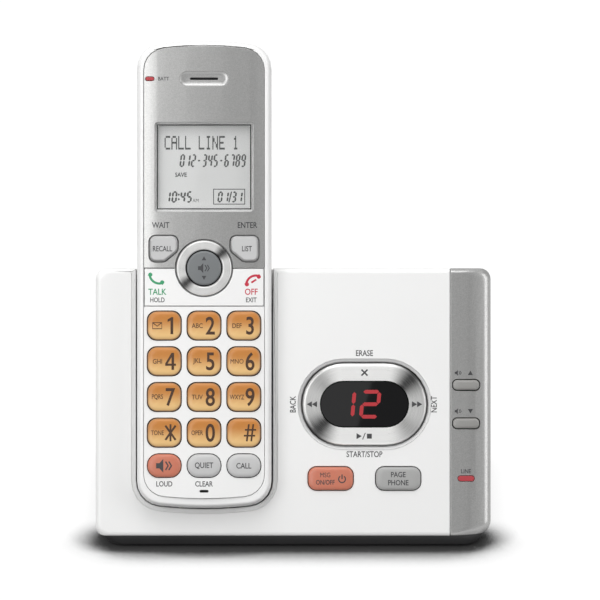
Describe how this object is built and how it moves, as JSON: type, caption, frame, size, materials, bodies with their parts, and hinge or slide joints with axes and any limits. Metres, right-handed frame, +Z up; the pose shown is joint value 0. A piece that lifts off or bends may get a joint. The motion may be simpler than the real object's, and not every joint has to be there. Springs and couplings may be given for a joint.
{
  "type": "cordless telephone",
  "caption": "Cordless telephone: a handset with keypad and display stands in a leaning answering-machine base with an oval key ring, message display and side volume keys.",
  "frame": {"origin": "middle of the object's bounding box, on the desk plane under the rubber feet", "axes": "+X to the right as seen from the front, +Y to the back, +Z up; the front faces -Y"},
  "size_m": [0.1464, 0.0932, 0.1745],
  "materials": {
    "white_plastic": "smooth moulded, satin gloss",
    "silver_paint": "silver metallic paint",
    "charcoal_plastic": "fine textured",
    "foot_rubber": "matt",
    "key_mat_rubber": "matt silicone",
    "screw_steel": "zinc plated",
    "contact_metal": "nickel plated",
    "circuit_board": "green solder mask",
    "smoked_lens": "polished, dark",
    "led_module": "red segments",
    "brushed_metal": "brushed",
    "grey_key": "soft satin",
    "salmon_key": "soft satin, translucent",
    "amber_key": "soft satin, translucent",
    "red_light": "translucent",
    "clear_window": "clear acrylic",
    "lcd_glass": "reflective liquid crystal panel",
    "battery_wrap": "shrink wrap"
  },
  "bodies": {
    "base": {"base_housing": "white_plastic", "base_end_panel": "silver_paint", "base_bottom": "charcoal_plastic", "base_feet": "foot_rubber", "base_screws": "screw_steel", "base_board": "circuit_board", "base_speaker": "charcoal_plastic", "power_jack": "charcoal_plastic", "line_jack": "charcoal_plastic", "display_lens": "smoked_lens", "led_display": "led_module", "in_use_light": "red_light", "base_key_mat": "key_mat_rubber"},
    "handset": {"handset_front_case": "white_plastic", "handset_back_case": "white_plastic", "upper_faceplate": "silver_paint", "lower_faceplate": "white_plastic", "display_window": "clear_window", "lcd_panel": "lcd_glass", "earpiece": "charcoal_plastic", "loudspeaker": "charcoal_plastic", "microphone": "contact_metal", "handset_board": "circuit_board", "key_mat": "key_mat_rubber", "battery_pack": "battery_wrap", "charge_plates": "contact_metal", "charge_light": "red_light", "handset_screws": "screw_steel", "nav_ring": "brushed_metal"},
    "battery_door": {"battery_door": "white_plastic"},
    "nav_disc": {"nav_disc": "grey_key"},
    "call_bar": {"call_bar": "white_plastic"},
    "oval_key_pad": {"oval_key_pad": "key_mat_rubber"},
    "oval_key_ring": {"oval_key_ring": "brushed_metal"},
    "charge_pin_left": {"charge_pin_left": "contact_metal"},
    "charge_pin_right": {"charge_pin_right": "contact_metal"},
    "soft_key_left": {"soft_key_left": "grey_key"},
    "soft_key_right": {"soft_key_right": "grey_key"},
    "key_1": {"key_1": "amber_key"},
    "key_2": {"key_2": "amber_key"},
    "key_3": {"key_3": "amber_key"},
    "key_4": {"key_4": "amber_key"},
    "key_5": {"key_5": "amber_key"},
    "key_6": {"key_6": "amber_key"},
    "key_7": {"key_7": "amber_key"},
    "key_8": {"key_8": "amber_key"},
    "key_9": {"key_9": "amber_key"},
    "key_star": {"key_star": "amber_key"},
    "key_0": {"key_0": "amber_key"},
    "key_hash": {"key_hash": "amber_key"},
    "speaker_key": {"speaker_key": "salmon_key"},
    "mute_key": {"mute_key": "grey_key"},
    "intercom_key": {"intercom_key": "grey_key"},
    "answer_key": {"answer_key": "salmon_key"},
    "locator_key": {"locator_key": "grey_key"},
    "volume_up_key": {"volume_up_key": "grey_key"},
    "volume_down_key": {"volume_down_key": "grey_key"}
  },
  "joints": [
    {"name": "handset_lift", "type": "slide", "parent": "base", "child": "handset", "axis": [0, 0.4226, 0.9063], "range_m": [0, 0.11]},
    {"name": "battery_door_slide", "type": "slide", "parent": "handset", "child": "battery_door", "axis": [0, -0.4226, -0.9063], "range_m": [0, 0.008]},
    {"name": "nav_disc_rock", "type": "hinge", "parent": "handset", "child": "nav_disc", "pos_m": [-0.03285, -0.01022, 0.09956], "axis": [1, 0, 0], "range_deg": [-2.5, 2.5], "stiffness_Nm_per_rad": 0.05},
    {"name": "call_bar_rock", "type": "hinge", "parent": "handset", "child": "call_bar", "pos_m": [-0.03285, -0.01252, 0.09296], "axis": [0, 0.4226, 0.9063], "range_deg": [-1.2, 1.2], "stiffness_Nm_per_rad": 0.1},
    {"name": "soft_key_left_press", "type": "slide", "parent": "handset", "child": "soft_key_left", "axis": [0, 0.9063, -0.4226], "range_m": [0, 0.0008], "stiffness_N_per_m": 450},
    {"name": "soft_key_right_press", "type": "slide", "parent": "handset", "child": "soft_key_right", "axis": [0, 0.9063, -0.4226], "range_m": [0, 0.0008], "stiffness_N_per_m": 450},
    {"name": "key_1_press", "type": "slide", "parent": "handset", "child": "key_1", "axis": [0, 0.9063, -0.4226], "range_m": [0, 0.0008], "stiffness_N_per_m": 450},
    {"name": "key_2_press", "type": "slide", "parent": "handset", "child": "key_2", "axis": [0, 0.9063, -0.4226], "range_m": [0, 0.0008], "stiffness_N_per_m": 450},
    {"name": "key_3_press", "type": "slide", "parent": "handset", "child": "key_3", "axis": [0, 0.9063, -0.4226], "range_m": [0, 0.0008], "stiffness_N_per_m": 450},
    {"name": "key_4_press", "type": "slide", "parent": "handset", "child": "key_4", "axis": [0, 0.9063, -0.4226], "range_m": [0, 0.0008], "stiffness_N_per_m": 450},
    {"name": "key_5_press", "type": "slide", "parent": "handset", "child": "key_5", "axis": [0, 0.9063, -0.4226], "range_m": [0, 0.0008], "stiffness_N_per_m": 450},
    {"name": "key_6_press", "type": "slide", "parent": "handset", "child": "key_6", "axis": [0, 0.9063, -0.4226], "range_m": [0, 0.0008], "stiffness_N_per_m": 450},
    {"name": "key_7_press", "type": "slide", "parent": "handset", "child": "key_7", "axis": [0, 0.9063, -0.4226], "range_m": [0, 0.0008], "stiffness_N_per_m": 450},
    {"name": "key_8_press", "type": "slide", "parent": "handset", "child": "key_8", "axis": [0, 0.9063, -0.4226], "range_m": [0, 0.0008], "stiffness_N_per_m": 450},
    {"name": "key_9_press", "type": "slide", "parent": "handset", "child": "key_9", "axis": [0, 0.9063, -0.4226], "range_m": [0, 0.0008], "stiffness_N_per_m": 450},
    {"name": "key_star_press", "type": "slide", "parent": "handset", "child": "key_star", "axis": [0, 0.9063, -0.4226], "range_m": [0, 0.0008], "stiffness_N_per_m": 450},
    {"name": "key_0_press", "type": "slide", "parent": "handset", "child": "key_0", "axis": [0, 0.9063, -0.4226], "range_m": [0, 0.0008], "stiffness_N_per_m": 450},
    {"name": "key_hash_press", "type": "slide", "parent": "handset", "child": "key_hash", "axis": [0, 0.9063, -0.4226], "range_m": [0, 0.0008], "stiffness_N_per_m": 450},
    {"name": "speaker_key_press", "type": "slide", "parent": "handset", "child": "speaker_key", "axis": [0, 0.9063, -0.4226], "range_m": [0, 0.0008], "stiffness_N_per_m": 450},
    {"name": "mute_key_press", "type": "slide", "parent": "handset", "child": "mute_key", "axis": [0, 0.9063, -0.4226], "range_m": [0, 0.0008], "stiffness_N_per_m": 450},
    {"name": "intercom_key_press", "type": "slide", "parent": "handset", "child": "intercom_key", "axis": [0, 0.9063, -0.4226], "range_m": [0, 0.0008], "stiffness_N_per_m": 450},
    {"name": "oval_pad_rock", "type": "hinge", "parent": "base", "child": "oval_key_pad", "pos_m": [0.02635, -0.02232, 0.0497], "axis": [0, 0.4226, 0.9063], "range_deg": [-2, 2], "stiffness_Nm_per_rad": 0.4},
    {"name": "oval_ring_tilt", "type": "hinge", "parent": "oval_key_pad", "child": "oval_key_ring", "pos_m": [0.02635, -0.02232, 0.0497], "axis": [1, 0, 0], "range_deg": [-2, 2], "stiffness_Nm_per_rad": 0.4},
    {"name": "answer_key_press", "type": "slide", "parent": "base", "child": "answer_key", "axis": [0, 0.9063, -0.4226], "range_m": [0, 0.0008], "stiffness_N_per_m": 450},
    {"name": "locator_key_press", "type": "slide", "parent": "base", "child": "locator_key", "axis": [0, 0.9063, -0.4226], "range_m": [0, 0.0008], "stiffness_N_per_m": 450},
    {"name": "volume_up_key_press", "type": "slide", "parent": "base", "child": "volume_up_key", "axis": [0, 0.9063, -0.4226], "range_m": [0, 0.0008], "stiffness_N_per_m": 450},
    {"name": "volume_down_key_press", "type": "slide", "parent": "base", "child": "volume_down_key", "axis": [0, 0.9063, -0.4226], "range_m": [0, 0.0008], "stiffness_N_per_m": 450},
    {"name": "charge_pin_left_press", "type": "slide", "parent": "base", "child": "charge_pin_left", "axis": [0, -0.4226, -0.9063], "range_m": [0, 0.0008], "stiffness_N_per_m": 450},
    {"name": "charge_pin_right_press", "type": "slide", "parent": "base", "child": "charge_pin_right", "axis": [0, -0.4226, -0.9063], "range_m": [0, 0.0008], "stiffness_N_per_m": 450}
  ]
}
